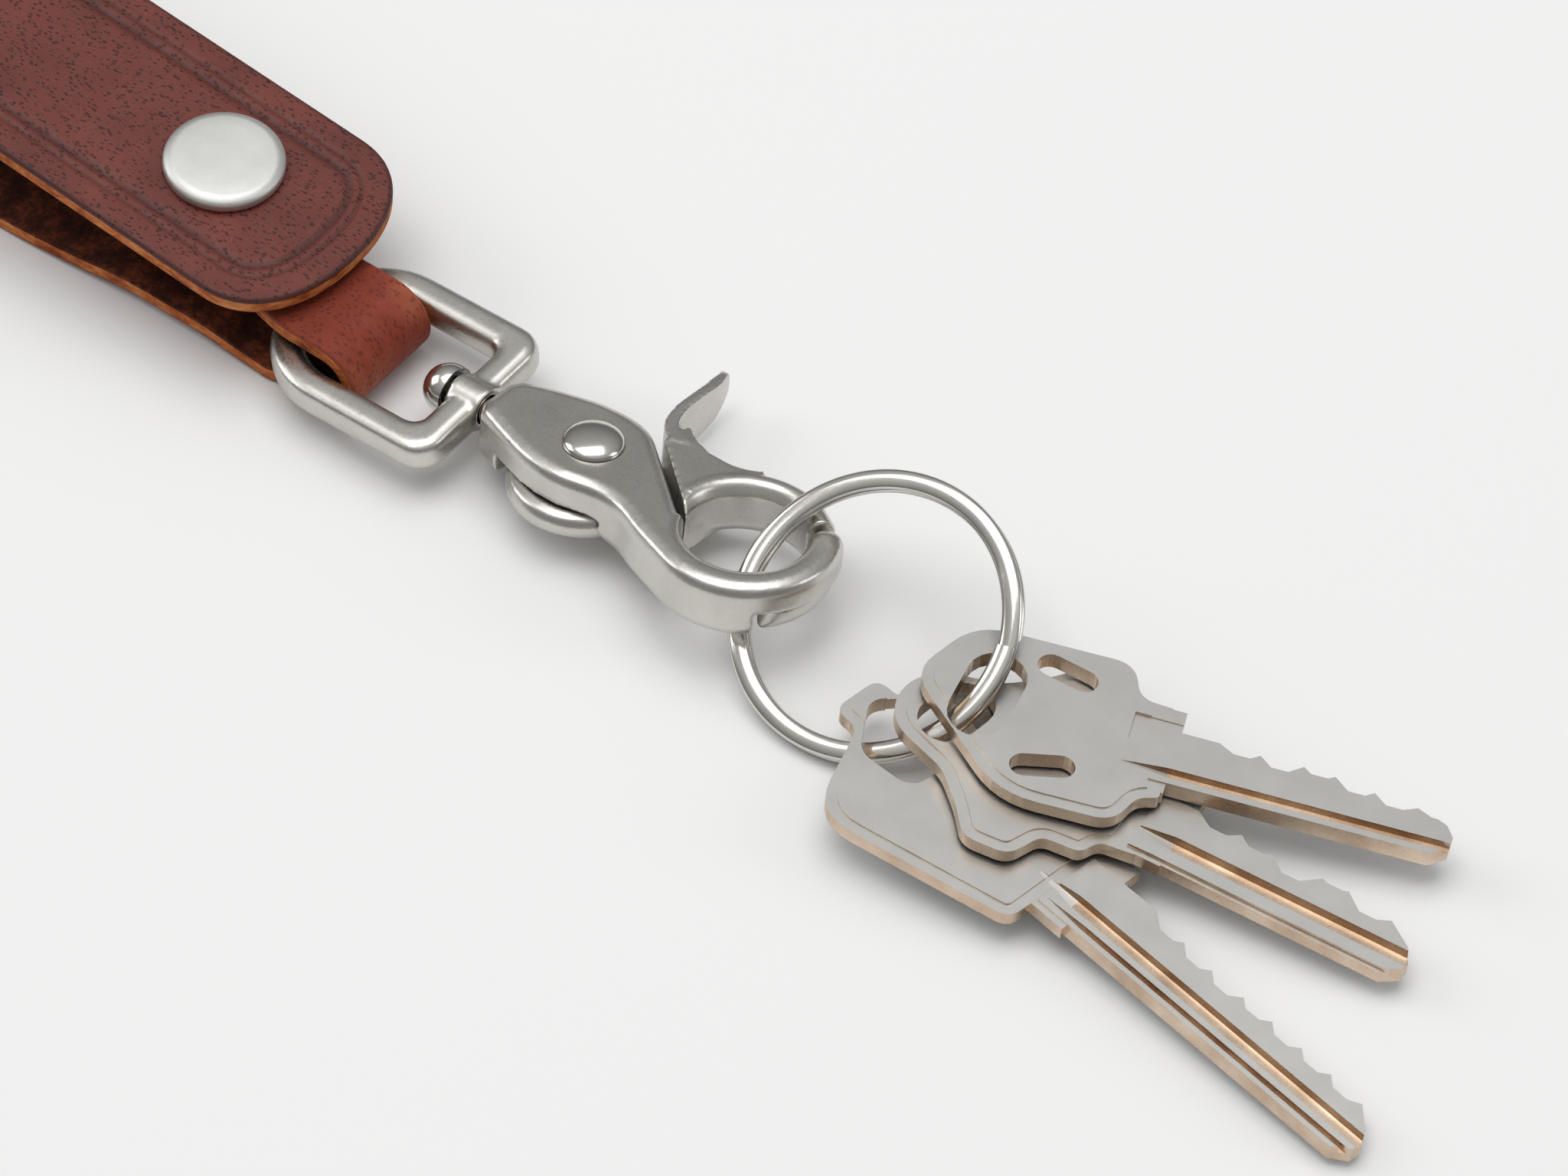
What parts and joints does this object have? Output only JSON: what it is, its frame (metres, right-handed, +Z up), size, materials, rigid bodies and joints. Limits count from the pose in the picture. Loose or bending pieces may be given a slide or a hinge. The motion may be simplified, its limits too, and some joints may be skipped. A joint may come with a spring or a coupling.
{
  "type": "key organiser",
  "caption": "Folded leather belt loop closed by a snap fastener, holding a swivel eye, a trigger snap hook, a split ring and flat cut keys.",
  "frame": {"origin": "centre of the footprint, on the surface the object lies on", "axes": "+X from the strap to the keys, +Z up, +Y towards the trigger's tongue"},
  "size_m": [0.2258, 0.0404, 0.0192],
  "materials": {
    "leather": "red-brown pebbled bridle leather with creased edges",
    "satin_cap": "satin nickel plating",
    "snap_brass": "dull plated brass",
    "spring_wire": "drawn spring wire",
    "tumbled_steel": "tumbled cast stainless steel, soft grey sheen",
    "polished_steel": "polished steel",
    "key_metal": "worn nickel-plated brass"
  },
  "bodies": {
    "strap": {"strap_lower": "leather", "snap_stud": "snap_brass", "snap_post": "snap_brass"},
    "flap": {"strap_flap": "leather", "snap_cap": "satin_cap", "snap_socket": "snap_brass", "snap_spring": "spring_wire"},
    "eye": {"swivel_eye": "tumbled_steel"},
    "hook": {"hook_body": "tumbled_steel", "pivot_rivet": "polished_steel", "swivel_post": "polished_steel", "trigger_spring": "spring_wire"},
    "lever": {"trigger_lever": "tumbled_steel"},
    "ring": {"split_ring": "polished_steel"},
    "large_key": {"key_large": "key_metal"},
    "middle_key": {"key_middle": "key_metal"},
    "top_key": {"key_top": "key_metal"}
  },
  "joints": [
    {"name": "flap_open", "type": "hinge", "parent": "strap", "child": "flap", "pos_m": [-0.11289, 0.00441, 0.00965], "axis": [0, -1, 0], "range_deg": [0, 105]},
    {"name": "eye_tilt", "type": "hinge", "parent": "strap", "child": "eye", "pos_m": [-0.03029, 0.00096, 0.0041], "axis": [0, -1, 0], "range_deg": [0, 8]},
    {"name": "hook_swivel", "type": "hinge", "parent": "eye", "child": "hook", "pos_m": [0.00711, 0.00096, 0.0061], "axis": [0.9987, 0, 0.0506], "continuous": true},
    {"name": "trigger_pull", "type": "hinge", "parent": "hook", "child": "lever", "pos_m": [0.00711, 0.00096, 0.0061], "axis": [-0.0497, 0.1908, 0.9804], "range_deg": [0, 20], "stiffness_Nm_per_rad": 0.03, "springref_deg": -22.92, "deforming": ["trigger_spring"]},
    {"name": "ring_turn", "type": "hinge", "parent": "hook", "child": "ring", "pos_m": [0.04191, 0.00186, 0.00752], "axis": [0, -0.4617, 0.887], "range_deg": [-12, 12]},
    {"name": "key_large_fan", "type": "hinge", "parent": "ring", "child": "large_key", "pos_m": [0.05281, -0.00584, 0.00355], "axis": [0.0489, 0.0784, 0.9957], "range_deg": [-10, 10]},
    {"name": "key_middle_fan", "type": "hinge", "parent": "ring", "child": "middle_key", "pos_m": [0.05511, -0.00214, 0.00555], "axis": [0.0489, 0.0784, 0.9957], "range_deg": [-10, 10]},
    {"name": "key_top_fan", "type": "hinge", "parent": "ring", "child": "top_key", "pos_m": [0.05581, 0.00166, 0.00745], "axis": [0.0489, 0.0784, 0.9957], "range_deg": [-10, 10]}
  ]
}
